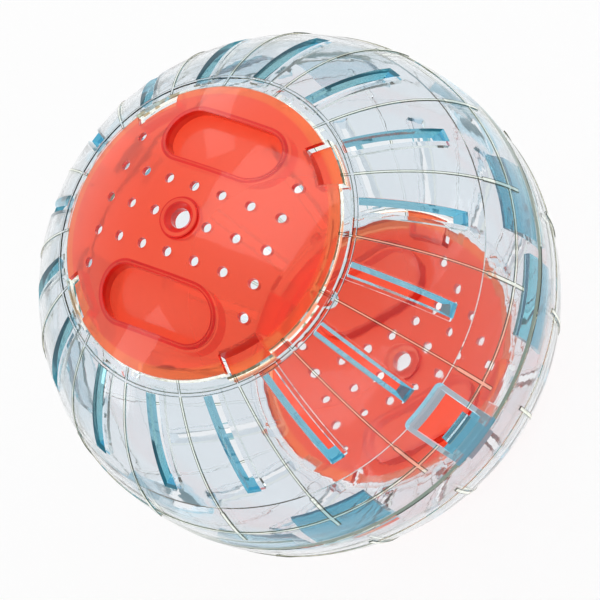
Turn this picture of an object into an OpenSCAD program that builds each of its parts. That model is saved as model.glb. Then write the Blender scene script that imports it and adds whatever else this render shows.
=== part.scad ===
// Hamster ball: two clear half shells that snap together on an equator seam,
// and two round twist-lock doors, one over each pole.
// The origin is the ball's centre and +Z runs along the door axis, out of the front door.
// Each half shell and each door is drawn with its pole up, and flip() turns a second copy over.

/* [Ball] */
// Outer diameter of the closed ball
ball_d = 190; // [175:1:215]
// Wall of each half shell
shell_wall = 2.2; // [1.6:0.1:2.8]
// Extra wall in the band beside the seam
band_extra = 0.4; // [0.2:0.1:0.8]
// Angle from the pole at which that band starts
band_angle = 69.5; // [68:0.5:72]
// Bevel on the outer edge of the seam
seam_bevel = 0.5; // [0.2:0.1:0.9]
// Height of the low rings that run round the outside
ring_h = 0.3; // [0.2:0.1:0.5]
// Width of these rings
ring_w = 1.4; // [0.8:0.1:2]
// Angle from the pole of the ring in the seam band
ring_angle = 78.5; // [77:0.5:80]

/* [Ribs] */
// Number of ribs round each half, with as many vent slots between them
rib_n = 16; // [12:2:18]
// Width of a thin rib
rib_w = 1; // [0.6:0.1:1.6]
// Height of a thin rib above the ball
rib_h = 0.4; // [0.2:0.1:0.7]
// Width of the thicker end of a rib, in the seam band
rod_w = 1.7; // [1.2:0.1:2.4]
// Height of the thicker end of a rib
rod_h = 0.5; // [0.3:0.1:0.8]
// Angle from the pole at which the ribs end
rod_end_angle = 82; // [80:0.5:83.5]

/* [Vent slots] */
// Width of a slot at the outer surface
slot_w = 5.5; // [4:0.1:6.5]
// Width of a slot at its inner mouth
slot_mouth_w = 2.5; // [1.5:0.1:3.5]
// Depth of a slot, through the wall and its lip
slot_depth = 3.6; // [3:0.1:4.4]
// Width of the lip that stands inside along a slot
slot_lip_w = 7; // [6.8:0.1:9]
// Angle from the pole at which the slots end
slot_end_angle = 63.5; // [60:0.5:65]
// Slope of the end wall on the seam side
slot_end_slope = 45; // [35:1:50]
// Distance from the collar to the start of the slots
slot_gap = 4.2; // [3:0.1:6]

/* [Seam joints] */
// Width of a locating tongue
tongue_w = 30; // [22:1:31]
// Reach of a locating tongue past the seam
tongue_len = 19.8; // [16:0.1:22]
// Wall of the tongues and latch arms
tongue_wall = 1.8; // [1.4:0.1:2.4]
// Length of the lead-in bevel at a tongue's tip
tongue_bevel_len = 8; // [5:0.5:10]
// Depth of that bevel at the tip
tongue_bevel = 1.1; // [0.6:0.1:1.3]
// Height of a tongue's root on its own half
root_h = 7; // [5:0.5:10]
// Clearance between the halves where they fit into each other
seam_fit = 0.3; // [0.2:0.05:0.5]
// Width of a latch window
window_w = 16.4; // [15:0.1:18]
// Height of a latch window
window_h = 22; // [19:0.1:22.5]
// Height of the bridge between a window and the seam
bridge_h = 9.3; // [8:0.1:10]
// Wall of the frame round a window
frame_wall = 4; // [3.4:0.1:4.6]
// Width of that frame beside the window
frame_w = 1.8; // [1.4:0.1:2.6]
// Radius of the frame's outer corners on the door side
frame_corner = 2.6; // [2:0.1:4]
// Width of a latch arm
latch_w = 12; // [9:0.1:13]
// Height of the barb on a latch arm
barb_h = 1.5; // [1.2:0.1:3]
// Reach of the barb into its window
barb_reach = 1.7; // [1.4:0.1:2.4]

/* [Doors] */
// Diameter of a door across its rim
door_d = 106; // [102:0.5:110]
// Wall of a door
door_wall = 2; // [1.6:0.1:2.6]
// Clearance round the rim of a door
door_gap = 0.3; // [0.2:0.05:0.5]
// Azimuth of the front door's rows of holes
front_door_az = -38.7; // [-44:0.1:-34]
// Azimuth of the rear door's rows of holes, seen from outside that door
rear_door_az = -31.8; // [-44:0.1:-26]
// Length of a finger pocket
pocket_len = 46; // [40:1:48]
// Width of a finger pocket
pocket_w = 19; // [16:0.5:20]
// Depth of a finger pocket
pocket_depth = 5.5; // [4.5:0.1:7]
// Distance from the outer side of a finger pocket to the door's rim
pocket_rim = 13.5; // [12.5:0.5:14.5]

/* [Door holes] */
// Diameter of an air hole
hole_d = 3.6; // [2.4:0.1:4.4]
// Distance from the last hole of the middle row to the door's rim
hole_rim = 19.7; // [18.2:0.1:24]
// Distance between the rows of holes
row_pitch = 12.2; // [11:0.1:13.2]
// Distance from the row of single holes beyond a pocket to the door's rim
outer_row_rim = 29; // [27:0.5:33]
// Outer diameter of the hub ring
hub_d = 14.6; // [13:0.1:15.4]
// Diameter of the hub bore
hub_bore_d = 7.3; // [5:0.1:8]
// Height of the hub ring above the ball
hub_proud = 0.9; // [0.5:0.1:1.5]
// Length of the hub
hub_len = 5; // [4.5:0.1:8]
// Width of the chamfer at the mouth of the hub bore
hub_chamfer = 1.5; // [0.8:0.1:2]

/* [Twist lock] */
// Width of a lug, measured round the door's rim
lug_w = 17; // [12:0.5:20]
// Depth of the rim notch that opens over a lug
lug_notch = 5.5; // [5:0.1:6]
// Wall of a lug
lug_wall = 1.8; // [1.4:0.1:2.4]
// Reach of a lug past the door's rim
lug_hook = 1.2; // [0.8:0.1:1.6]
// Clearance on each side of a lug in its gap
lug_gap = 0.4; // [0.3:0.05:0.6]
// Clearance between a lug and the ledge it turns under
turn_gap = 0.4; // [0.3:0.05:0.6]
// Clearance between a door and the ledge it sits on
seat_gap = 0.3; // [0.2:0.05:0.5]
// Width of the ledge inside the opening
ledge_w = 3.7; // [3:0.1:4.5]
// Wall of the ledge
ledge_wall = 2; // [1.6:0.1:2.6]
// Width of the collar round the opening
collar_w = 2.2; // [2:0.1:3]
// Step from the underside of the ledge up to that of the collar
collar_step = 0.4; // [0.2:0.1:0.8]
// Turn from the open position to the locked one
lock_turn = 40; // [30:1:44]
// Width of the stop that ends the locking turn
end_stop_w = 2.3; // [1.5:0.1:3]
// Width of the stop beside the gap
gap_stop_w = 6.7; // [4:0.1:8]

/* [Hidden] */
$fn = 180;
// Sides of the small round holes
hole_fn = 40;
// Number of lugs, tongues and quarter features round the ball
quarters = 4;
quarter = 360 / quarters;
// Columns of holes on each side of the hub, and rows of holes on each side of it
hole_columns = 3;
hole_rows = 1;
// How far a cutting solid runs past what it cuts
over = 1;
shell_color = [0.78, 0.87, 0.93, 0.45];
door_color = [0.93, 0.28, 0.18, 0.8];

ball_r = ball_d / 2;
wall_r = ball_r - shell_wall;
band_r = wall_r - band_extra;
// Radius in the middle of the wall, where inner features start so that they join it
core_r = ball_r - shell_wall / 2;
rib_root_r = ball_r - shell_wall / 4;
ring_root_r = ball_r - shell_wall / 3;
pitch = 360 / rib_n;
// Turning a half over about this azimuth sends its ribs, tongues and latches to their mates
flip_az = -pitch / 2;
tongue_az = -pitch;
latch_az = quarter / 2 - pitch / 2;
window_az = latch_az + quarter;

// Opening, ledge and lugs, from the outer surface inwards
door_r = door_d / 2;
pocket_offset = door_r - pocket_rim - pocket_w / 2;
hole_pitch = (door_r - hole_rim) / hole_columns;
outer_row = door_r - outer_row_rim;
opening_r = door_r + door_gap;
door_in_r = ball_r - door_wall;
ledge_top_r = door_in_r - seat_gap;
ledge_low_r = ledge_top_r - ledge_wall;
lug_top_r = ledge_low_r - turn_gap;
lug_low_r = lug_top_r - lug_wall;
ledge_in_r = opening_r - ledge_w;
notch_r = door_r - lug_notch;
hook_r = door_r + lug_hook;
opening_angle = asin(opening_r / ball_r);
collar_angle = opening_angle + arc_angle(collar_w, ball_r);
slot_start_angle = collar_angle + arc_angle(slot_gap, ball_r);
collar_ring_angle = slot_start_angle - arc_angle(ring_w, ball_r);
lug_half = arc_angle(lug_w / 2, door_r);
gap_half = lug_half + arc_angle(lug_gap, door_r);
ledge_angle = lock_turn + arc_angle(end_stop_w, door_r);
end_stop_angle = arc_angle(end_stop_w, door_r);
gap_stop_angle = arc_angle(gap_stop_w, door_r);

// Seam joints
tongue_out_r = band_r - seam_fit;
tongue_in_r = tongue_out_r - tongue_wall;
frame_in_r = ball_r - frame_wall;
latch_out_r = frame_in_r - seam_fit;
latch_in_r = latch_out_r - tongue_wall;
barb_foot = bridge_h + seam_fit;
latch_len = barb_foot + barb_h;

// Angle, in degrees, that an arc of this length spans on a circle of radius r
function arc_angle(len, r) = len / r * 180 / PI;

// Turns a half or a door over onto the far side of the ball
module flip() {
    rotate(a = 180, v = [cos(flip_az), sin(flip_az), 0])
        children();
}

// Repeats its child once for each quarter, from azimuth az
module each_quarter(az) {
    for (i = [0 : quarters - 1])
        rotate([0, 0, az + i * quarter])
            children();
}

// Layer of the ball between two radii
module layer(r_out, r_in) {
    difference() {
        sphere(r = r_out);
        sphere(r = r_in);
    }
}

// Part of a ring about Z, centred on the X axis, between two radii and two heights
module sector(r_in, r_out, z_low, z_high, from_az, to_az) {
    rotate([0, 0, from_az])
        rotate_extrude(angle = to_az - from_az)
            translate([r_in, z_low])
                square([r_out - r_in, z_high - z_low]);
}

// Sweeps a flat outline, drawn as radius and width, along a meridian between two polar angles
module along_meridian(from_angle, to_angle) {
    rotate([90, 0, 0])
        rotate([0, 0, 90 - to_angle])
            rotate_extrude(angle = to_angle - from_angle)
                children();
}

// Block that reaches radially across the wall, w wide, between two heights
module radial_block(r_in, w, z_low, z_high) {
    translate([r_in, -w / 2, z_low])
        cube([ball_r + over - r_in, w, z_high - z_low]);
}

// Low ring on the outside at a polar angle
module outer_ring(angle) {
    ring_height = ring_w * sin(angle);
    intersection() {
        layer(ball_r + ring_h, ring_root_r);
        translate([0, 0, ball_r * cos(angle) - ring_height / 2])
            cylinder(r = ball_r + over, h = ring_height);
    }
}

// The bare half shell with its thicker seam band
module half_wall() {
    difference() {
        sphere(r = ball_r);
        intersection() {
            sphere(r = wall_r);
            translate([0, 0, wall_r * cos(band_angle)])
                cylinder(r = ball_r, h = ball_r);
        }
        sphere(r = band_r);
        translate([0, 0, -ball_r - over])
            cylinder(r = ball_r + over, h = ball_r + over);
    }
}

// Ribs on the outside, from the opening to the seam band, with a thicker end in the band
module ribs() {
    for (i = [0 : rib_n - 1])
        rotate([0, 0, i * pitch]) {
            along_meridian(opening_angle - arc_angle(over, ball_r), band_angle)
                translate([rib_root_r, -rib_w / 2])
                    square([ball_r + rib_h - rib_root_r, rib_w]);
            along_meridian(band_angle, rod_end_angle)
                translate([rib_root_r, -rod_w / 2])
                    square([ball_r + rod_h - rib_root_r, rod_w]);
        }
}

// Lips that stand inside round the vent slots
module slot_lips() {
    for (i = [0 : rib_n - 1])
        rotate([0, 0, (i + 0.5) * pitch])
            along_meridian(collar_ring_angle, slot_end_angle + arc_angle(slot_lip_w - slot_w, ball_r) / 2)
                translate([ball_r - slot_depth, -slot_lip_w / 2])
                    square([slot_depth - shell_wall / 2, slot_lip_w]);
}

// One vent slot, narrower inside, with a sloping end wall on the seam side
module slot_cutter() {
    slope = (slot_w - slot_mouth_w) / 2 / slot_depth;
    in_r = ball_r - slot_depth - over;
    out_r = ball_r + over;
    in_half = slot_mouth_w / 2 - slope * over;
    out_half = slot_w / 2 + slope * over;
    difference() {
        along_meridian(slot_start_angle, slot_end_angle)
            polygon([[in_r, -in_half], [out_r, -out_half], [out_r, out_half], [in_r, in_half]]);
        rotate([90, 0, 0])
            rotate([0, 0, 90 - slot_end_angle])
                translate([ball_r, 0, -slot_w])
                    rotate([0, 0, 180 - slot_end_slope])
                        cube([2 * slot_depth, 2 * slot_depth, 2 * slot_w]);
    }
}

module slots() {
    for (i = [0 : rib_n - 1])
        rotate([0, 0, (i + 0.5) * pitch])
            slot_cutter();
}

// Thick collar round the opening
module collar() {
    intersection() {
        layer(core_r, ledge_low_r + collar_step);
        cylinder(r = ball_r * sin(collar_angle), h = ball_r);
    }
}

// Ledge arc beside one gap, with its rounded far end and the two stops
module ledge_arc() {
    far_az = -gap_half - ledge_angle;
    intersection() {
        layer(ledge_top_r, ledge_low_r);
        union() {
            sector(ledge_in_r, opening_r + collar_w / 2, 0, ball_r, far_az, -gap_half);
            rotate([0, 0, far_az])
                translate([opening_r, 0, 0])
                    cylinder(r = ledge_w, h = ball_r, $fn = hole_fn);
        }
    }
    intersection() {
        layer(ledge_top_r, lug_low_r);
        union() {
            sector(ledge_in_r, hook_r + lug_gap, 0, ball_r, far_az, far_az + end_stop_angle);
            sector(ledge_in_r, hook_r + lug_gap, 0, ball_r, gap_half, gap_half + gap_stop_angle);
        }
    }
}

// Gap in the rim and the ledge for one lug, on the X axis
module lug_gap_cut() {
    sector(ledge_in_r - over, hook_r + lug_gap, 0, ball_r + over, -gap_half, gap_half);
}

// Locating tongue that reaches into the other half, on the X axis
module tongue() {
    half = arc_angle(tongue_w / 2, tongue_out_r);
    tip_r = sqrt(pow(tongue_out_r, 2) - pow(tongue_len, 2));
    heel_r = sqrt(pow(tongue_out_r, 2) - pow(tongue_len - tongue_bevel_len, 2));
    difference() {
        union() {
            intersection() {
                layer(tongue_out_r, tongue_in_r);
                sector(tongue_in_r / 2, ball_r, -tongue_len, root_h, -half, half);
            }
            intersection() {
                layer(core_r, tongue_in_r);
                sector(tongue_in_r / 2, ball_r, 0, root_h, -half, half);
            }
        }
        rotate([0, 0, -2 * half])
            rotate_extrude(angle = 4 * half)
                polygon([
                    [heel_r, tongue_bevel_len - tongue_len],
                    [ball_r, tongue_bevel_len - tongue_len],
                    [ball_r, -tongue_len - over],
                    [tip_r - tongue_bevel * (1 + over / tongue_bevel_len), -tongue_len - over]
                ]);
    }
}

// Latch arm with its barb, on the X axis
module latch() {
    half = arc_angle(latch_w / 2, latch_out_r);
    foot_r = sqrt(pow(latch_out_r, 2) - pow(barb_foot, 2));
    intersection() {
        layer(latch_out_r, latch_in_r);
        sector(latch_in_r / 2, ball_r, -latch_len, root_h, -half, half);
    }
    intersection() {
        layer(core_r, latch_in_r);
        sector(latch_in_r / 2, ball_r, 0, root_h, -half, half);
    }
    rotate([0, 0, -half])
        rotate_extrude(angle = 2 * half)
            polygon([
                [foot_r - tongue_wall / 2, -barb_foot],
                [foot_r + barb_reach, -barb_foot],
                [foot_r + barb_reach, -barb_foot - barb_h / 4],
                [foot_r - tongue_wall / 2, -latch_len]
            ]);
}

// Frame that stands inside round a latch window, on the X axis
module window_frame() {
    frame_h = bridge_h + window_h + frame_w;
    half_w = window_w / 2 + frame_w;
    intersection() {
        layer(core_r, frame_in_r);
        translate([frame_in_r / 2, 0, 0])
            rotate([90, 0, 90])
                linear_extrude(height = ball_r) {
                    translate([-half_w, 0])
                        square([2 * half_w, frame_h - frame_corner]);
                    translate([frame_corner - half_w, 0])
                        square([2 * (half_w - frame_corner), frame_h]);
                    for (side = [-1, 1])
                        translate([side * (half_w - frame_corner), frame_h - frame_corner])
                            circle(r = frame_corner, $fn = hole_fn);
                }
    }
}

// One clear half shell, with its opening cut for a door whose holes run along azimuth door_az
module half_shell(door_az) {
    lug_az = door_az + quarter / 2;
    difference() {
        union() {
            difference() {
                union() {
                    half_wall();
                    ribs();
                    slot_lips();
                    collar();
                    outer_ring(collar_ring_angle);
                    outer_ring(ring_angle);
                    each_quarter(tongue_az)
                        tongue();
                    for (i = [0, 1])
                        rotate([0, 0, latch_az + i * 2 * quarter])
                            latch();
                    for (i = [0, 1])
                        rotate([0, 0, window_az + i * 2 * quarter])
                            window_frame();
                }
                slots();
                cylinder(r = opening_r, h = ball_r + over);
                for (i = [0, 1])
                    rotate([0, 0, window_az + i * 2 * quarter])
                        radial_block(frame_in_r / 2, window_w, bridge_h, bridge_h + window_h);
                // Bevel along the seam's outer edge
                rotate_extrude()
                    polygon([
                        [ball_r - seam_bevel, -over],
                        [ball_r - seam_bevel, 0],
                        [ball_r + over, seam_bevel + over],
                        [ball_r + over, -over]
                    ]);
            }
            each_quarter(lug_az)
                ledge_arc();
        }
        each_quarter(lug_az)
            lug_gap_cut();
    }
}

// Long hole outline with round ends, centred
module obround(len, w) {
    square([len - w, w], center = true);
    for (side = [-1, 1])
        translate([side * (len - w) / 2, 0])
            circle(d = w, $fn = 2 * hole_fn);
}

// Solid that carries a pocket's walls and floor under the dome
module pocket_well() {
    intersection() {
        linear_extrude(height = ball_r)
            obround(pocket_len + 2 * door_wall, pocket_w + 2 * door_wall);
        difference() {
            translate([0, -pocket_offset, 0])
                sphere(r = ball_r - door_wall / 2);
            translate([0, -pocket_offset, -pocket_depth])
                sphere(r = door_in_r);
        }
    }
}

// Space above a pocket's floor
module pocket_space() {
    difference() {
        linear_extrude(height = ball_r + over)
            obround(pocket_len, pocket_w);
        translate([0, -pocket_offset, -pocket_depth])
            sphere(r = ball_r);
    }
}

// Air holes: three rows across the door and one hole beyond each end of each pocket
module air_holes() {
    for (i = [-hole_columns : hole_columns])
        for (j = [-hole_rows : hole_rows])
            if (i != 0 || j != 0)
                translate([i * hole_pitch, j * row_pitch, 0])
                    cylinder(d = hole_d, h = ball_r + over, $fn = hole_fn);
    for (side = [-1, 1])
        for (end = [-1, 1])
            translate([end * hole_columns * hole_pitch, side * outer_row, 0])
                cylinder(d = hole_d, h = ball_r + over, $fn = hole_fn);
}

// Wall and foot of a lug, on the X axis
module lug() {
    intersection() {
        layer(ball_r, lug_low_r);
        sector(notch_r - lug_wall, notch_r, 0, ball_r, -lug_half, lug_half);
    }
    intersection() {
        layer(lug_top_r, lug_low_r);
        sector(notch_r - lug_wall, hook_r, 0, ball_r, -lug_half, lug_half);
    }
}

// Notch in the rim over a lug
module lug_notch_cut() {
    intersection() {
        layer(ball_r + over, lug_top_r);
        sector(notch_r, hook_r + over, 0, ball_r + over, -lug_half, lug_half);
    }
}

// One door with its pole up and its rows of holes along X
module door() {
    hub_top = ball_r + hub_proud;
    difference() {
        union() {
            intersection() {
                layer(ball_r, door_in_r);
                cylinder(r = door_r, h = ball_r + over);
            }
            for (side = [0, 1])
                rotate([0, 0, side * 180])
                    translate([0, pocket_offset, 0])
                        pocket_well();
            each_quarter(quarter / 2)
                lug();
            translate([0, 0, hub_top - hub_len])
                cylinder(d = hub_d, h = hub_len);
        }
        for (side = [0, 1])
            rotate([0, 0, side * 180])
                translate([0, pocket_offset, 0])
                    pocket_space();
        each_quarter(quarter / 2)
            lug_notch_cut();
        air_holes();
        cylinder(d = hub_bore_d, h = hub_top + over, $fn = 2 * hole_fn);
        translate([0, 0, hub_top - hub_chamfer])
            cylinder(d1 = hub_bore_d, d2 = hub_bore_d + 2 * hub_chamfer, h = hub_chamfer);
    }
}

module front_shell() {
    color(shell_color)
        half_shell(front_door_az);
}

module rear_shell() {
    color(shell_color)
        flip()
            half_shell(rear_door_az);
}

module front_door() {
    color(door_color)
        rotate([0, 0, front_door_az])
            door();
}

module rear_door() {
    color(door_color)
        flip()
            rotate([0, 0, rear_door_az])
                door();
}

front_shell();
rear_shell();
front_door();
rear_door();
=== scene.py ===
"""Studio scene of a clear exercise ball with a translucent twist-lock door over each pole."""

import logging
import math
from dataclasses import dataclass
from enum import Enum

import bpy
from mathutils import Matrix, Vector


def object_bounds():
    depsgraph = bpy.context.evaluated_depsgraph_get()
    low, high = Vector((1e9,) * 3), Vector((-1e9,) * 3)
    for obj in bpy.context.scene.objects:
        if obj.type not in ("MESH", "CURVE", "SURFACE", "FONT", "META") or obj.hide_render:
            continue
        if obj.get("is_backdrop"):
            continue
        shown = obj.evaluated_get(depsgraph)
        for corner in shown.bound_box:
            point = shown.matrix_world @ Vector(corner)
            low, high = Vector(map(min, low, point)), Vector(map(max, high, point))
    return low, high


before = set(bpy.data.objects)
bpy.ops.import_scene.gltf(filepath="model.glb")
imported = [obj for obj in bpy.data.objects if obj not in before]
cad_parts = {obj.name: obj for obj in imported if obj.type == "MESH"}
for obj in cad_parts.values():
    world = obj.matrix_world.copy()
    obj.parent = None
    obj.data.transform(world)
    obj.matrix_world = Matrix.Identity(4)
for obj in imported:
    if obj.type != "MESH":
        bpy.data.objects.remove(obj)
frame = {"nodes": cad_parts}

LOG = logging.getLogger("exercise_ball")

# Light is followed this far, because many clear walls stand behind one another
LIGHT_BOUNCES = 24
# Height of the slow waves in a moulded surface
WAVE_HEIGHT_M = 0.001
# A full turn
DIAL = 2 * math.pi
# What keeps the level part of a vector
LEVEL = (1.0, 1.0, 0.0)

Rgb = tuple[float, float, float]
Point = tuple[float, float, float]
Socket = bpy.types.NodeSocket
Sockets = bpy.types.bpy_prop_collection
Feed = Socket | float | tuple[float, ...]

BLACK: Rgb = (0.0, 0.0, 0.0)
WHITE: Rgb = (1.0, 1.0, 1.0)


class Op(Enum):
    """What a Math or Vector Math node works out, by Blender's name."""

    ADD = "ADD"
    SUBTRACT = "SUBTRACT"
    MULTIPLY = "MULTIPLY"
    DIVIDE = "DIVIDE"
    ABSOLUTE = "ABSOLUTE"
    MAXIMUM = "MAXIMUM"
    MINIMUM = "MINIMUM"
    ROOT = "SQRT"
    FRACTION = "FRACT"
    TURN = "ARCTAN2"
    OVER = "GREATER_THAN"
    UNDER = "LESS_THAN"
    UNIT = "NORMALIZE"
    DOT = "DOT_PRODUCT"
    LENGTH = "LENGTH"


class Midline(Enum):
    """How far evenly spaced planes stand from the middle of a spacing, as a share of it."""

    SLOTS = 0.0
    RIBS = 0.5


class Ray(Enum):
    """Kinds of light path that a material or the surroundings can answer, by socket name."""

    CAMERA = "Is Camera Ray"
    SHADOW = "Is Shadow Ray"
    GLOSSY = "Is Glossy Ray"
    TRANSMISSION = "Is Transmission Ray"
    DEPTH = "Transmission Depth"


class MixPort(Enum):
    """Places of the colour sockets on a Mix node, which has more than one of each name."""

    SHARE = 0
    FIRST = 6
    SECOND = 7
    RESULT = 2


class NodeBoard:
    """A node tree with short calls to add and join nodes."""

    def __init__(self, tree: bpy.types.NodeTree) -> None:
        """Starts on an empty tree.

        Args:
            tree: The tree of a material, a world or a node group.
        """
        self.tree = tree
        tree.nodes.clear()

    def add(self, kind: str, **values: object) -> bpy.types.Node:
        """Adds one node.

        Args:
            kind: The node's type name.
            **values: Properties of the node, such as operation.

        Returns:
            The new node.
        """
        node = self.tree.nodes.new(kind)
        for name, value in values.items():
            setattr(node, name, value)
        return node

    def feed(self, socket: Socket, value: Feed) -> None:
        """Joins a socket to another one or sets it to a plain value.

        Args:
            socket: The input.
            value: An output socket, a number or a colour.
        """
        if isinstance(value, Socket):
            self.tree.links.new(value, socket)
        elif socket.type == "RGBA":
            socket.default_value = (*value, 1.0)
        else:
            socket.default_value = value

    def math(self, operation: Op, *inputs: Feed, clamp: bool = False) -> Socket:
        """Adds a Math node.

        Args:
            operation: What it works out.
            *inputs: Sockets or numbers, in order.
            clamp: Whether the result stays from 0 to 1.

        Returns:
            Its output.
        """
        node = self.add("ShaderNodeMath", operation=operation.value, use_clamp=clamp)
        for socket, value in zip(node.inputs, inputs):
            self.feed(socket, value)
        return node.outputs[0]

    def vector(self, operation: Op, *inputs: Feed, output: str = "Vector") -> Socket:
        """Adds a Vector Math node.

        Args:
            operation: What it works out.
            *inputs: Sockets or vectors, in order.
            output: The name of the output that is wanted.

        Returns:
            That output.
        """
        node = self.add("ShaderNodeVectorMath", operation=operation.value)
        for socket, value in zip(node.inputs, inputs):
            self.feed(socket, value)
        return node.outputs[output]

    def both(self, first: Feed, second: Feed) -> Socket:
        """Multiplies two masks."""
        return self.math(Op.MULTIPLY, first, second)

    def inverse(self, mask: Feed) -> Socket:
        """Turns a mask round."""
        return self.math(Op.SUBTRACT, 1.0, mask)

    def split(self, vector: Feed) -> Sockets:
        """Returns the X, Y and Z of a vector."""
        parts = self.add("ShaderNodeSeparateXYZ")
        self.feed(parts.inputs["Vector"], vector)
        return parts.outputs

    def off_axis(self, place: Feed) -> Socket:
        """Measures a place's distance from the ball's axis."""
        return self.vector(Op.LENGTH, self.vector(Op.MULTIPLY, place, LEVEL), output="Value")

    def ramp(self, value: Feed, low: Feed, high: Feed) -> Socket:
        """Turns a value into a soft step from 0 at low to 1 at high.

        Args:
            value: The socket to read.
            low: Where the step starts.
            high: Where it ends.

        Returns:
            The step.
        """
        node = self.add("ShaderNodeMapRange", interpolation_type="SMOOTHSTEP")
        self.feed(node.inputs["Value"], value)
        self.feed(node.inputs["From Min"], low)
        self.feed(node.inputs["From Max"], high)
        return node.outputs["Result"]

    def above(self, value: Feed, limit: Feed, soft: Feed) -> Socket:
        """Makes a mask that is 1 where a value is past a limit.

        Args:
            value: The value.
            limit: The limit.
            soft: Width of the mask's edge.

        Returns:
            The mask.
        """
        return self.ramp(value, limit, self.math(Op.ADD, limit, soft))

    def below(self, value: Feed, limit: Feed, soft: Feed) -> Socket:
        """Makes the opposite mask, which is 1 where a value is under a limit."""
        return self.inverse(self.above(value, limit, soft))

    def blend(self, share: Feed, first: Feed, second: Feed) -> Socket:
        """Mixes two colours.

        Args:
            share: How much of the second one shows.
            first: A colour or a socket.
            second: A colour or a socket.

        Returns:
            The mixed colour.
        """
        node = self.add("ShaderNodeMix", data_type="RGBA")
        self.feed(node.inputs[MixPort.SHARE.value], share)
        self.feed(node.inputs[MixPort.FIRST.value], first)
        self.feed(node.inputs[MixPort.SECOND.value], second)
        return node.outputs[MixPort.RESULT.value]

    def noise(self, where: Feed, scale: Feed, detail: float) -> Socket:
        """Adds a noise pattern.

        Args:
            where: The coordinates.
            scale: Waves per metre, about.
            detail: Octaves.

        Returns:
            Its grey value.
        """
        node = self.add("ShaderNodeTexNoise")
        node.inputs["Detail"].default_value = detail
        self.feed(node.inputs["Vector"], where)
        self.feed(node.inputs["Scale"], scale)
        return node.outputs["Fac"]


class SharedEffect:
    """A shader node group with named inputs and outputs, built once."""

    name = "effect"
    inputs: tuple[tuple[str, float], ...] = ()
    outputs: tuple[str, ...] = ()

    def __init__(self) -> None:
        """Builds the group."""
        self.group = bpy.data.node_groups.new(self.name, "ShaderNodeTree")
        for label, value in self.inputs:
            socket = self.group.interface.new_socket(label, in_out="INPUT", socket_type="NodeSocketFloat")
            socket.default_value = value
        for label in self.outputs:
            self.group.interface.new_socket(label, in_out="OUTPUT", socket_type="NodeSocketFloat")
        board = NodeBoard(self.group)
        source = board.add("NodeGroupInput")
        sink = board.add("NodeGroupOutput")
        self.draw(board, source.outputs, sink.inputs)

    def draw(self, board: NodeBoard, given: Sockets, wanted: Sockets) -> None:
        """Fills the group.

        Args:
            board: The group's board.
            given: The group's inputs, by name.
            wanted: The group's outputs, by name.
        """
        raise NotImplementedError

    def place(self, board: NodeBoard, **values: float) -> bpy.types.Node:
        """Puts the group into a material.

        Args:
            board: The material's board.
            **values: Input values, with underscores for the spaces in their names.

        Returns:
            The group node.
        """
        node = board.add("ShaderNodeGroup", node_tree=self.group)
        for name, value in values.items():
            board.feed(node.inputs[name.replace("_", " ").capitalize()], value)
        return node


class CutEdge(SharedEffect):
    """Mask of the faces that run through the wall, such as slot walls, rib sides and rims.

    On them the surface turns away from the ball's radius; the materials paint light and shade there in
    place of light that travels inside the plastic. Near is 1 where a wall is passed from outside to inside.
    """

    name = "cut_edge"
    inputs = (("Start", 0.08), ("End", 0.26), ("Near start", -0.2), ("Near end", 0.2))
    outputs = ("Edge", "Near")

    def draw(self, board: NodeBoard, given: Sockets, wanted: Sockets) -> None:
        """Draws the mask from the piece's own coordinates and normal."""
        place = board.add("ShaderNodeTexCoord")
        outward = board.vector(Op.UNIT, place.outputs["Object"])
        along = board.vector(Op.DOT, outward, place.outputs["Normal"], output="Value")
        turned = board.inverse(board.math(Op.ABSOLUTE, along))
        board.feed(wanted["Edge"], board.ramp(turned, given["Start"], given["End"]))
        board.feed(wanted["Near"], board.ramp(along, given["Near start"], given["Near end"]))


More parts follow.
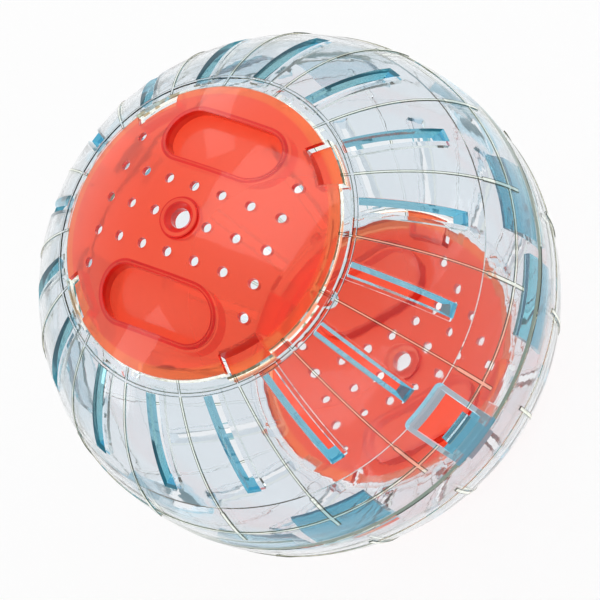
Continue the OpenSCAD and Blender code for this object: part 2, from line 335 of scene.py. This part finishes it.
class ShellZones(SharedEffect):
    """Masks of the parts of a shell that look different, by where they lie.

    Slot marks the vent slots and Deep slot their seam ends, Lock the stretches with latches and
    window frames, Arm the latch arms in them, Fill the tongues, arms and frames inside the wall,
    Tip the latch tips, Calm the collar, Mouth the walls of the opening, Seam the strip beside the
    seam, Proud the ribs and rings that stand out of the ball, and Centre the middle of each.
    """

    name = "shell_zones"
    middle = 0.5
    inputs = (
        ("Slots", 16.0),
        ("Slot reach", 0.0031),
        ("Slot foot", 0.040),
        ("Slot top", 0.062),
        ("Latches", 4.0),
        ("Latch shift", 0.125),
        ("Lock reach", 0.0104),
        ("Lock height", 0.0345),
        ("Lock radius", 0.09215),
        ("Tip reach", 0.0072),
        ("Tip start", 0.0095),
        ("Tip end", 0.020),
        ("Collar", 0.79),
        ("Collar soft", 0.002),
        ("Seam reach", 0.006),
        ("Proud radius", 0.09508),
        ("Proud soft", 0.0001),
        ("Mouth radius", 0.056),
        ("Rib centre", 0.0002),
        ("Rod centre", 0.0005),
        ("Rod top", 0.0333),
        ("Ring height", 0.01894),
        ("Ring centre", 0.00038),
        ("Collar ring height", 0.07573),
        ("Collar ring centre", 0.0003),
        ("Soft", 0.0002),
        ("Fine", 0.00006),
    )
    outputs = ("Slot", "Deep slot", "Lock", "Arm", "Fill", "Tip", "Calm", "Mouth", "Seam", "Proud", "Centre")

    def draw(self, board: NodeBoard, given: Sockets, wanted: Sockets) -> None:
        """Draws the masks from distances to planes through the axis, the seam and the centre."""
        place = board.add("ShaderNodeTexCoord").outputs["Object"]
        parts = board.split(place)
        height = board.math(Op.ABSOLUTE, parts["Z"])
        radius = board.vector(Op.LENGTH, place, output="Value")
        soft = given["Soft"]
        beside_slot = self.beside(board, place, given["Slots"], Midline.SLOTS.value)
        beside_latch = self.beside(board, place, given["Latches"], given["Latch shift"])
        high = board.above(height, given["Slot foot"], soft)
        board.feed(wanted["Slot"], board.both(board.below(beside_slot, given["Slot reach"], soft), high))
        board.feed(wanted["Deep slot"], board.ramp(height, given["Slot top"], given["Slot foot"]))

        past = board.above(height, given["Tip start"], soft)
        tip = board.both(board.below(beside_latch, given["Tip reach"], soft), past)
        tip = board.both(tip, board.below(height, given["Tip end"], soft))
        low = board.math(Op.SUBTRACT, board.below(height, given["Lock height"], soft), tip, clamp=True)
        lock = board.below(beside_latch, given["Lock reach"], soft)
        fill = board.below(radius, given["Lock radius"], soft)
        board.feed(wanted["Lock"], board.both(lock, low))
        board.feed(wanted["Arm"], board.both(lock, board.inverse(past)))
        board.feed(wanted["Fill"], board.both(fill, low))
        board.feed(wanted["Tip"], board.both(fill, tip))

        polar = board.math(Op.DIVIDE, height, radius)
        collar = board.above(polar, given["Collar"], given["Collar soft"])
        mouth = board.below(board.off_axis(place), given["Mouth radius"], soft)
        board.feed(wanted["Calm"], collar)
        board.feed(wanted["Mouth"], board.both(mouth, collar))
        board.feed(wanted["Seam"], board.below(height, given["Seam reach"], soft))
        board.feed(wanted["Proud"], board.above(radius, given["Proud radius"], given["Proud soft"]))

        beside_rib = self.beside(board, place, given["Slots"], Midline.RIBS.value)
        on_rib = board.above(height, given["Rod top"], soft)
        half = board.both(on_rib, board.math(Op.SUBTRACT, given["Rib centre"], given["Rod centre"]))
        centre = board.below(beside_rib, board.math(Op.ADD, half, given["Rod centre"]), given["Fine"])
        for ring in ("Ring", "Collar ring"):
            off_ring = board.math(Op.ABSOLUTE, board.math(Op.SUBTRACT, height, given[f"{ring} height"]))
            on_ring = board.below(off_ring, given[f"{ring} centre"], given["Fine"])
            centre = board.math(Op.MAXIMUM, centre, on_ring)
        board.feed(wanted["Centre"], centre)

    def beside(self, board: NodeBoard, place: Socket, count: Feed, shift: Feed) -> Socket:
        """Measures the distance to the nearest of some evenly spaced planes through the axis.

        Args:
            board: The group's board.
            place: The coordinates.
            count: How many planes there are round the ball.
            shift: How far they stand from the middle of the first spacing, as a share of it.

        Returns:
            The distance, in metres.
        """
        parts = board.split(place)
        turn = board.math(Op.TURN, parts["Y"], parts["X"])
        step = board.math(Op.DIVIDE, DIAL, count)
        share = board.math(Op.FRACTION, board.math(Op.ADD, board.math(Op.DIVIDE, turn, step), shift))
        aside = board.math(Op.ABSOLUTE, board.math(Op.SUBTRACT, share, self.middle))
        return board.both(board.both(aside, step), board.off_axis(place))


class MouldFlow(SharedEffect):
    """Slow waves and fine haze that a moulded wall shows in its reflections."""

    name = "mould_flow"
    inputs = (
        ("Wave scale", 26.0),
        ("Streak scale", 60.0),
        ("Streak share", 0.25),
        ("Haze scale", 140.0),
        ("Haze start", 0.42),
        ("Haze end", 0.72),
    )
    outputs = ("Height", "Haze")
    pull: Point = (1.0, 1.0, 2.6)
    wave_detail = 1.0
    streak_detail = 2.0
    haze_detail = 4.0

    def draw(self, board: NodeBoard, given: Sockets, wanted: Sockets) -> None:
        """Draws the waves as a height and the haze as a value from 0 to 1."""
        place = board.add("ShaderNodeTexCoord").outputs["Object"]
        wave = board.noise(place, given["Wave scale"], self.wave_detail)
        pulled = board.vector(Op.MULTIPLY, place, self.pull)
        streak = board.noise(pulled, given["Streak scale"], self.streak_detail)
        height = board.math(Op.ADD, wave, board.both(streak, given["Streak share"]))
        haze = board.noise(place, given["Haze scale"], self.haze_detail)
        board.feed(wanted["Height"], height)
        board.feed(wanted["Haze"], board.ramp(haze, given["Haze start"], given["Haze end"]))


class DoorLines(SharedEffect):
    """Masks of a door's finger pockets and hub ring.

    Line marks the thin lines of painted shade round them, Lip the strip between a pocket's two lines, and
    Pocket the pockets' own walls.
    """

    name = "door_lines"
    inputs = (
        ("Turn", 0.0),
        ("Offset", 0.030),
        ("Half length", 0.0135),
        ("Radius", 0.0095),
        ("Lip", 0.0014),
        ("Dome", 0.0925),
        ("Dome soft", 0.0005),
        ("Pocket reach", 0.0005),
        ("Line", 0.00036),
        ("Hub", 0.0073),
        ("Hub inner", 0.0052),
        ("Soft", 0.00016),
    )
    outputs = ("Line", "Lip", "Pocket")

    def draw(self, board: NodeBoard, given: Sockets, wanted: Sockets) -> None:
        """Draws the lines from distances to the pockets' outline and to the axis."""
        place = board.add("ShaderNodeTexCoord").outputs["Object"]
        turned = board.add("ShaderNodeVectorRotate", rotation_type="Z_AXIS")
        board.feed(turned.inputs["Vector"], place)
        board.feed(turned.inputs["Angle"], given["Turn"])
        parts = board.split(turned.outputs["Vector"])
        past = board.math(Op.SUBTRACT, board.math(Op.ABSOLUTE, parts["X"]), given["Half length"])
        along = board.math(Op.MAXIMUM, past, 0.0)
        across = board.math(Op.SUBTRACT, board.math(Op.ABSOLUTE, parts["Y"]), given["Offset"])
        reach = board.math(Op.ROOT, board.math(Op.ADD, board.both(along, along), board.both(across, across)))
        outline = board.math(Op.SUBTRACT, reach, given["Radius"])
        outer = board.math(Op.SUBTRACT, outline, given["Lip"])
        radius = board.vector(Op.LENGTH, place, output="Value")
        dome = board.above(radius, given["Dome"], given["Dome soft"])

        nearest = board.math(Op.MINIMUM, board.math(Op.ABSOLUTE, outline), board.math(Op.ABSOLUTE, outer))
        for ring in ("Hub", "Hub inner"):
            off_ring = board.math(Op.SUBTRACT, board.off_axis(place), given[ring])
            nearest = board.math(Op.MINIMUM, nearest, board.math(Op.ABSOLUTE, off_ring))
        # Mask of the painted shade lines round the pockets and the hub ring
        painted_shade_line = board.below(nearest, given["Line"], given["Soft"])
        board.feed(wanted["Line"], board.both(painted_shade_line, dome))
        strip = board.both(board.math(Op.OVER, outline, 0.0), board.math(Op.UNDER, outer, 0.0))
        board.feed(wanted["Lip"], board.both(strip, dome))
        pocket = board.math(Op.UNDER, board.math(Op.ABSOLUTE, outline), given["Pocket reach"])
        board.feed(wanted["Pocket"], pocket)


@dataclass(frozen=True)
class MouldedPlastic:
    """What both plastics of the ball share: a polished, see-through moulding.

    Attributes:
        name: The material's name.
        face: Colour of the open wall.
        clear: Share of light that passes the surface instead of being scattered.
        bend: Index of refraction.
        smooth: Roughness of the cleanest places.
        dull: Roughness of the haziest places.
        ripple: Strength of the waves in the reflections.
        mirror: Level of the sharp reflections.
        gloss: Weight of the polished skin.
        sheen: Roughness of that skin.
        shadow: Colour that lamps keep when they shine through one surface.
    """

    name: str
    face: Rgb
    clear: float
    bend: float
    smooth: float
    dull: float
    ripple: float
    mirror: float
    gloss: float
    sheen: float
    shadow: Rgb

    def surface(self, board: NodeBoard, flow: MouldFlow) -> bpy.types.Node:
        """Adds the shader with its waves, haze and polish.

        Args:
            board: The material's board.
            flow: The shared waves and haze.

        Returns:
            The Principled shader, whose colours are still open.
        """
        waves = flow.place(board)
        roughness = board.add("ShaderNodeMapRange")
        board.feed(roughness.inputs["Value"], waves.outputs["Haze"])
        board.feed(roughness.inputs["To Min"], self.smooth)
        board.feed(roughness.inputs["To Max"], self.dull)
        bump = board.add("ShaderNodeBump")
        board.feed(bump.inputs["Strength"], self.ripple)
        board.feed(bump.inputs["Distance"], WAVE_HEIGHT_M)
        board.feed(bump.inputs["Height"], waves.outputs["Height"])
        plastic = board.add("ShaderNodeBsdfPrincipled")
        board.feed(plastic.inputs["Roughness"], roughness.outputs["Result"])
        board.feed(plastic.inputs["Normal"], bump.outputs["Normal"])
        board.feed(plastic.inputs["IOR"], self.bend)
        board.feed(plastic.inputs["Transmission Weight"], self.clear)
        board.feed(plastic.inputs["Coat Weight"], self.gloss)
        board.feed(plastic.inputs["Coat Roughness"], self.sheen)
        board.feed(plastic.inputs["Specular IOR Level"], self.mirror)
        return plastic

    def close(self, board: NodeBoard, plastic: bpy.types.Node) -> None:
        """Lets lamps shine through the shader and joins it to the output.

        Args:
            board: The material's board.
            plastic: The Principled shader.
        """
        lamp = board.add("ShaderNodeBsdfTransparent")
        board.feed(lamp.inputs["Color"], self.shadow)
        path = board.add("ShaderNodeLightPath")
        mix = board.add("ShaderNodeMixShader")
        board.feed(mix.inputs[0], path.outputs[Ray.SHADOW.value])
        board.feed(mix.inputs[1], plastic.outputs["BSDF"])
        board.feed(mix.inputs[2], lamp.outputs["BSDF"])
        out = board.add("ShaderNodeOutputMaterial")
        board.feed(out.inputs["Surface"], mix.outputs["Shader"])


@dataclass(frozen=True)
class ShellPlastic(MouldedPlastic):
    """Clear plastic with painted teal shade and painted glow on slot walls and latches, and painted light and
    dark lines along ribs and rings.

    Attributes:
        wall: Painted teal shade of slot walls near the door, in place of light that runs inside the plastic.
        painted_deep_wall: Painted deeper teal shade of slot walls towards the seam.
        line: Painted cream highlight on the sides of ribs, lips and rings.
        lock: Painted teal shade of the tongues.
        frame: Painted dark teal shade of window frames and latch arms, under their painted glow.
        tip: Painted grey-blue shade of the latch tips.
        calm: Colour of cut faces in the collar.
        rib: Painted shade of the tops of ribs and rings, under their painted cream glow.
        painted_rib_shade: Painted dark shade on their low sides and in the thin lines along them.
        painted_wall_glow: Painted glow on slot walls, in place of light that runs inside the plastic.
        painted_deep_glow: Painted glow on slot walls towards the seam.
        painted_line_glow: Painted glow on rib sides.
        painted_seam_glow: Painted glow on cut faces beside the seam.
        painted_lock_glow: Painted glow on tongues.
        painted_frame_glow: Painted glow on window frames.
        painted_frame_wall_glow: Painted glow on their side walls.
        painted_arm_glow: Painted glow on latch arms.
        painted_mouth_glow: Painted glow on the walls of the opening, lightening the dark gap there.
        painted_rib_glow: Painted cream glow along the tops of ribs and rings, a painted highlight.
        fade: How much paler these colours are on the far side of the ball.
        far_start: Number of surfaces passed at which cut faces start to fade.
        far_end: Number at which they have faded.
    """

    wall: Rgb = (0.07, 0.22, 0.29)
    painted_deep_wall: Rgb = (0.02, 0.16, 0.27)
    line: Rgb = (0.80, 0.78, 0.66)
    lock: Rgb = (0.06, 0.37, 0.49)
    frame: Rgb = (0.03, 0.10, 0.13)
    tip: Rgb = (0.30, 0.36, 0.38)
    calm: Rgb = (0.75, 0.85, 0.90)
    rib: Rgb = (0.52, 0.58, 0.56)
    painted_rib_shade: Rgb = (0.06, 0.08, 0.06)
    painted_wall_glow: Rgb = (0.03, 0.085, 0.115)
    painted_deep_glow: Rgb = (0.02, 0.135, 0.195)
    painted_line_glow: Rgb = (0.10, 0.095, 0.07)
    painted_seam_glow: Rgb = (0.065, 0.08, 0.07)
    painted_lock_glow: Rgb = (0.01, 0.04, 0.06)
    painted_frame_glow: Rgb = (0.26, 0.42, 0.48)
    painted_frame_wall_glow: Rgb = (0.20, 0.36, 0.42)
    painted_arm_glow: Rgb = (0.09, 0.20, 0.25)
    painted_mouth_glow: Rgb = (0.20, 0.17, 0.10)
    painted_rib_glow: Rgb = (0.33, 0.33, 0.25)
    fade: float = 0.8
    far_start: float = 1.0
    far_end: float = 3.0

    def build(self, edges: CutEdge, zones: ShellZones, flow: MouldFlow) -> bpy.types.Material:
        """Makes the material.

        Args:
            edges: The shared mask of cut faces.
            zones: The shared masks of slots and locks.
            flow: The shared waves and haze.

        Returns:
            The material.
        """
        material = bpy.data.materials.new(self.name)
        material.use_nodes = True
        board = NodeBoard(material.node_tree)
        plastic = self.surface(board, flow)
        mask = edges.place(board).outputs
        zone = zones.place(board).outputs
        depth = board.add("ShaderNodeLightPath").outputs[Ray.DEPTH.value]
        far_cut = board.both(board.ramp(depth, self.far_start, self.far_end), self.fade)
        far_fill = board.both(board.inverse(mask["Near"]), self.fade)
        edge = board.both(mask["Edge"], board.inverse(far_cut))
        fill = board.both(zone["Fill"], board.inverse(far_fill))
        proud = board.both(zone["Proud"], board.inverse(far_cut))

        # Painted teal shade on slot walls, tongues, frames and tips, and painted cream highlight on other cut
        # faces, in place of light inside the plastic
        slot = board.blend(zone["Deep slot"], self.wall, self.painted_deep_wall)
        cut = board.blend(zone["Slot"], self.line, slot)
        cut = board.blend(zone["Lock"], cut, self.frame)
        cut = board.blend(zone["Calm"], cut, self.calm)
        inside = board.blend(zone["Lock"], self.lock, self.frame)
        # Ribs and rings: painted cream highlight along the middle, painted dark shade lines along the sides
        painted_shade_line = board.math(Op.MAXIMUM, mask["Edge"], board.inverse(zone["Centre"]))
        rib = board.blend(painted_shade_line, board.blend(zone["Calm"], self.rib, self.face), self.painted_rib_shade)
        color = board.blend(fill, board.blend(edge, self.face, cut), inside)
        color = board.blend(zone["Tip"], color, self.tip)
        color = board.blend(proud, color, rib)
        board.feed(plastic.inputs["Base Color"], color)

        # Painted glow: emission on cut faces, tongues, frames, the opening and rib tops, which are no lamp
        glow = board.blend(zone["Seam"], self.painted_line_glow, self.painted_seam_glow)
        painted_slot_glow = board.blend(zone["Deep slot"], self.painted_wall_glow, self.painted_deep_glow)
        glow = board.blend(zone["Slot"], glow, painted_slot_glow)
        glow = board.blend(zone["Lock"], glow, self.painted_frame_wall_glow)
        glow = board.blend(zone["Arm"], glow, self.painted_arm_glow)
        glow = board.blend(zone["Calm"], glow, BLACK)
        glow = board.blend(zone["Mouth"], glow, self.painted_mouth_glow)
        painted_inside_glow = board.blend(zone["Lock"], self.painted_lock_glow, self.painted_frame_glow)
        painted_inside_glow = board.blend(zone["Arm"], painted_inside_glow, self.painted_arm_glow)
        glow = board.blend(fill, board.blend(edge, BLACK, glow), painted_inside_glow)
        glow = board.blend(zone["Tip"], glow, BLACK)
        painted_rib_glow = board.blend(painted_shade_line, board.blend(zone["Calm"], self.painted_rib_glow, BLACK), BLACK)
        glow = board.blend(proud, glow, painted_rib_glow)
        board.feed(plastic.inputs["Emission Color"], glow)
        board.feed(plastic.inputs["Emission Strength"], 1.0)
        self.close(board, plastic)
        return material


@dataclass(frozen=True)
class DoorPlastic(MouldedPlastic):
    """Translucent red-orange plastic, with painted darker shade on cut faces, painted dark lines round
    pockets and hub ring, and more orange in the rim.

    Attributes:
        wall: Painted dark red shade on the walls of pockets, lugs, holes and the hub ring.
        outline: Painted dark shade in the thin lines round the pockets and the hub ring.
        lip: Painted shade on the strip round a pocket's edge, in place of a rounded lip.
        pocket: Painted shade on a pocket's walls, lighter than on the other walls.
        rim: Colour of the band along the rim.
        rim_start: Distance from the door's axis at which that band starts, in metres.
        rim_soft: Width of the change to it.
        rim_wall: Distance from the axis past which cut faces have the rim's colour too.
    """

    wall: Rgb = (0.70, 0.012, 0.006)
    outline: Rgb = (0.76, 0.004, 0.002)
    lip: Rgb = (0.85, 0.06, 0.025)
    pocket: Rgb = (0.84, 0.07, 0.03)
    rim: Rgb = (1.0, 0.21, 0.06)
    rim_start: float = 0.0492
    rim_soft: float = 0.0010
    rim_wall: float = 0.0526

    def build(self, turn: float, edges: CutEdge, lines: DoorLines, flow: MouldFlow) -> bpy.types.Material:
        """Makes the material.

        Args:
            turn: Turn of the door's rows of holes about the axis, in degrees.
            edges: The shared mask of cut faces.
            lines: The shared mask of thin lines.
            flow: The shared waves and haze.

        Returns:
            The material.
        """
        material = bpy.data.materials.new(self.name)
        material.use_nodes = True
        board = NodeBoard(material.node_tree)
        plastic = self.surface(board, flow)
        edge = edges.place(board).outputs["Edge"]
        mark = lines.place(board, turn=-math.radians(turn)).outputs
        place = board.add("ShaderNodeTexCoord").outputs["Object"]
        from_axis = board.off_axis(place)
        rim = board.ramp(from_axis, self.rim_start, self.rim_start + self.rim_soft)
        # Painted shade: darker red on cut faces, on the strip round each pocket and in the outline lines
        open_face = board.blend(mark["Lip"], board.blend(rim, self.face, self.rim), self.lip)
        cut = board.blend(mark["Pocket"], self.wall, self.pocket)
        cut = board.blend(board.math(Op.OVER, from_axis, self.rim_wall), cut, self.rim)
        color = board.blend(edge, open_face, cut)
        board.feed(plastic.inputs["Base Color"], board.blend(mark["Line"], color, self.outline))
        self.close(board, plastic)
        return material


SHELL_PLASTIC = ShellPlastic(
    name="clear_blue_shell",
    face=(0.845, 0.885, 0.915),
    clear=1.0,
    bend=1.22,
    smooth=0.02,
    dull=0.07,
    ripple=0.25,
    mirror=0.5,
    gloss=0.2,
    sheen=0.05,
    shadow=(0.955, 0.97, 0.98),
)

DOOR_PLASTIC = DoorPlastic(
    name="red_orange_door",
    face=(0.96, 0.115, 0.05),
    clear=0.72,
    bend=1.35,
    smooth=0.03,
    dull=0.08,
    ripple=0.3,
    mirror=0.2,
    gloss=0.55,
    sheen=0.40,
    shadow=(0.94, 0.62, 0.56),
)


@dataclass
class ShellHalves:
    """The two clear half shells, which are closed on each other.

    Attributes:
        finish: Their plastic.
        nodes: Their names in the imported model.
    """

    finish: ShellPlastic = SHELL_PLASTIC
    nodes: tuple[str, ...] = ("front_shell", "rear_shell")

    def dress(self, edges: CutEdge, zones: ShellZones, flow: MouldFlow) -> list[str]:
        """Gives both halves their plastic and returns their names."""
        return dress_nodes(self.nodes, self.finish.build(edges, zones, flow))


@dataclass
class TwistDoors:
    """The two doors, one over each pole.

    Attributes:
        finish: Their plastic.
        turns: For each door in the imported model, the azimuth of its rows of holes, in degrees.
    """

    finish: DoorPlastic = DOOR_PLASTIC
    turns: tuple[tuple[str, float], ...] = (("front_door", -38.7), ("rear_door", 9.3))

    def dress(self, edges: CutEdge, flow: MouldFlow) -> list[str]:
        """Gives both doors their plastic and returns their names."""
        lines = DoorLines()
        names = []
        for name, turn in self.turns:
            names += dress_nodes((name,), self.finish.build(turn, edges, lines, flow))
        return names


def dress_nodes(names: tuple[str, ...], material: bpy.types.Material) -> list[str]:
    """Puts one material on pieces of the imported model.

    Args:
        names: The pieces.
        material: The material.

    Returns:
        The names that were dressed.
    """
    for name in names:
        piece = frame["nodes"][name]
        piece.data.materials.clear()
        piece.data.materials.append(material)
    return list(names)


@dataclass
class Studio:
    """Pale floor, soft lamps and even surroundings.

    Attributes:
        floor_radius: Radius of the round floor, in metres.
        floor_color: Colour of the floor under the lamps.
        floor_sides: Number of its sides.
        floor_glow: Share of the floor that is plain white to the eye, under the shadow.
        sky_low: Brightness of the surroundings at the horizon.
        sky_high: Brightness overhead.
        sky_start: Sine of the elevation at which the surroundings start to darken.
        sky_end: Sine of the elevation at which they are darkest.
    """

    floor_radius: float = 6.0
    floor_color: Rgb = (0.93, 0.93, 0.93)
    floor_sides: int = 128
    floor_glow: float = 0.85
    sky_low: float = 0.92
    sky_high: float = 0.45
    sky_start: float = 0.12
    sky_end: float = 0.75

    def build_floor(self, height: float) -> bpy.types.Object:
        """Lays the floor.

        Args:
            height: The height that the ball rests on, in metres.

        Returns:
            The floor.
        """
        turns = [DIAL * i / self.floor_sides for i in range(self.floor_sides)]
        points = [(self.floor_radius * math.cos(t), self.floor_radius * math.sin(t), height) for t in turns]
        mesh = bpy.data.meshes.new("studio_floor")
        mesh.from_pydata(points, [], [list(range(self.floor_sides))])
        floor = bpy.data.objects.new("studio_floor", mesh)
        bpy.context.scene.collection.objects.link(floor)
        mesh.materials.append(self.floor_material())
        floor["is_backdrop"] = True
        return floor

    def floor_material(self) -> bpy.types.Material:
        """Makes the floor's matt white paper, which keeps the ball's shadow."""
        material = bpy.data.materials.new("floor_paper")
        material.use_nodes = True
        board = NodeBoard(material.node_tree)
        paper = board.add("ShaderNodeBsdfDiffuse")
        board.feed(paper.inputs["Color"], self.floor_color)
        white = board.add("ShaderNodeEmission")
        path = board.add("ShaderNodeLightPath")
        seen = board.math(Op.MAXIMUM, path.outputs[Ray.CAMERA.value], path.outputs[Ray.TRANSMISSION.value])
        seen = board.math(Op.MAXIMUM, seen, path.outputs[Ray.GLOSSY.value])
        mix = board.add("ShaderNodeMixShader")
        board.feed(mix.inputs[0], board.both(seen, self.floor_glow))
        board.feed(mix.inputs[1], paper.outputs["BSDF"])
        board.feed(mix.inputs[2], white.outputs["Emission"])
        out = board.add("ShaderNodeOutputMaterial")
        board.feed(out.inputs["Surface"], mix.outputs["Shader"])
        return material

    def build_sky(self) -> bpy.types.World:
        """Makes surroundings that are pale at the horizon and greyer overhead.

        Returns:
            The world.
        """
        world = bpy.data.worlds.new("studio_sky")
        world.use_nodes = True
        board = NodeBoard(world.node_tree)
        way = board.add("ShaderNodeTexCoord").outputs["Generated"]
        up = board.ramp(board.split(way)["Z"], self.sky_start, self.sky_end)
        glow = board.math(Op.ADD, self.sky_low, board.both(up, self.sky_high - self.sky_low))
        sky = board.add("ShaderNodeBackground")
        board.feed(sky.inputs["Color"], WHITE)
        board.feed(sky.inputs["Strength"], glow)
        out = board.add("ShaderNodeOutputWorld")
        board.feed(out.inputs["Surface"], sky.outputs["Background"])
        bpy.context.scene.world = world
        return world


@dataclass(frozen=True)
class SoftBox:
    """A square lamp that faces the ball.

    Attributes:
        name: The lamp's name.
        azimuth: Where it stands, in degrees from +X towards +Y.
        elevation: How high it stands, in degrees.
        distance: Its distance from the ball's centre, in metres.
        width: Its first side, in metres.
        depth: Its second side, in metres.
        brightness: How bright its face looks.
    """

    name: str
    azimuth: float
    elevation: float
    distance: float
    width: float
    depth: float
    brightness: float

    def build(self) -> bpy.types.Object:
        """Hangs the lamp."""
        lamp = bpy.data.lights.new(self.name, "AREA")
        lamp.shape = "RECTANGLE"
        lamp.size = self.width
        lamp.size_y = self.depth
        lamp.energy = self.brightness * math.pi * self.width * self.depth
        box = bpy.data.objects.new(self.name, lamp)
        level = self.distance * math.cos(math.radians(self.elevation))
        turn = math.radians(self.azimuth)
        height = self.distance * math.sin(math.radians(self.elevation))
        spot = Vector((level * math.cos(turn), level * math.sin(turn), height))
        box.location = spot
        box.rotation_mode = "QUATERNION"
        box.rotation_quaternion = (-spot).to_track_quat("-Z", "Y")
        bpy.context.scene.collection.objects.link(box)
        return box


LAMPS = (
    SoftBox("overhead_box", azimuth=50.0, elevation=66.0, distance=1.3, width=1.1, depth=1.1, brightness=2.2),
    SoftBox("side_strip", azimuth=190.0, elevation=25.0, distance=1.6, width=0.35, depth=1.4, brightness=2.0),
    SoftBox("back_strip", azimuth=95.0, elevation=20.0, distance=1.6, width=0.3, depth=1.2, brightness=1.6),
)


@dataclass(frozen=True)
class PhotoCamera:
    """The photograph's view of the ball.

    Attributes:
        place: Where the camera stands, in metres.
        right: Its right-hand direction.
        up: Its upward direction.
        lens_mm: Focal length.
        sensor_mm: Width of the film.
        near: Distance at which the view starts, in metres.
        far: Distance at which it ends, in metres.
    """

    place: Point = (0.4443, -0.5319, 1.1516)
    right: Point = (0.8766, -0.2077, -0.4341)
    up: Point = (0.3493, 0.8952, 0.2771)
    lens_mm: float = 221.3
    sensor_mm: float = 36.0
    near: float = 0.01
    far: float = 100.0

    def build(self) -> bpy.types.Object:
        """Sets up the camera and makes it the scene's."""
        data = bpy.data.cameras.new("photo_camera")
        data.lens = self.lens_mm
        data.sensor_width = self.sensor_mm
        data.sensor_fit = "HORIZONTAL"
        data.clip_start = self.near
        data.clip_end = self.far
        camera = bpy.data.objects.new("photo_camera", data)
        right = Vector(self.right).normalized()
        up = Vector(self.up)
        up = (up - up.dot(right) * right).normalized()
        back = right.cross(up)
        turn = Matrix((right, up, back)).transposed()
        camera.matrix_world = Matrix.Translation(Vector(self.place)) @ turn.to_4x4()
        bpy.context.scene.collection.objects.link(camera)
        bpy.context.scene.camera = camera
        return camera


def corners(box: tuple) -> list[list[float]]:
    """Turns a box of two corners into plain lists of numbers."""
    return [[float(v) for v in corner] for corner in box]


def main() -> None:
    """Builds the scene in order and reports each piece."""
    logging.basicConfig(level=logging.INFO, format="%(name)s: %(message)s")
    cad_box = corners(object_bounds())
    edges = CutEdge()
    flow = MouldFlow()
    for name in ShellHalves().dress(edges, ShellZones(), flow):
        LOG.info("dressed %s in clear plastic", name)
    for name in TwistDoors().dress(edges, flow):
        LOG.info("dressed %s in red-orange plastic", name)
    studio = Studio()
    floor = studio.build_floor(cad_box[0][2])
    LOG.info("laid %s at %.4f m", floor.name, cad_box[0][2])
    studio.build_sky()
    for lamp in LAMPS:
        LOG.info("hung %s", lamp.build().name)
    LOG.info("set up %s", PhotoCamera().build().name)
    scene = bpy.context.scene
    scene.view_settings.view_transform = "Standard"
    scene.cycles.max_bounces = LIGHT_BOUNCES
    scene.cycles.transmission_bounces = LIGHT_BOUNCES
    scene.cycles.transparent_max_bounces = LIGHT_BOUNCES


if __name__ == "__main__":
    main()
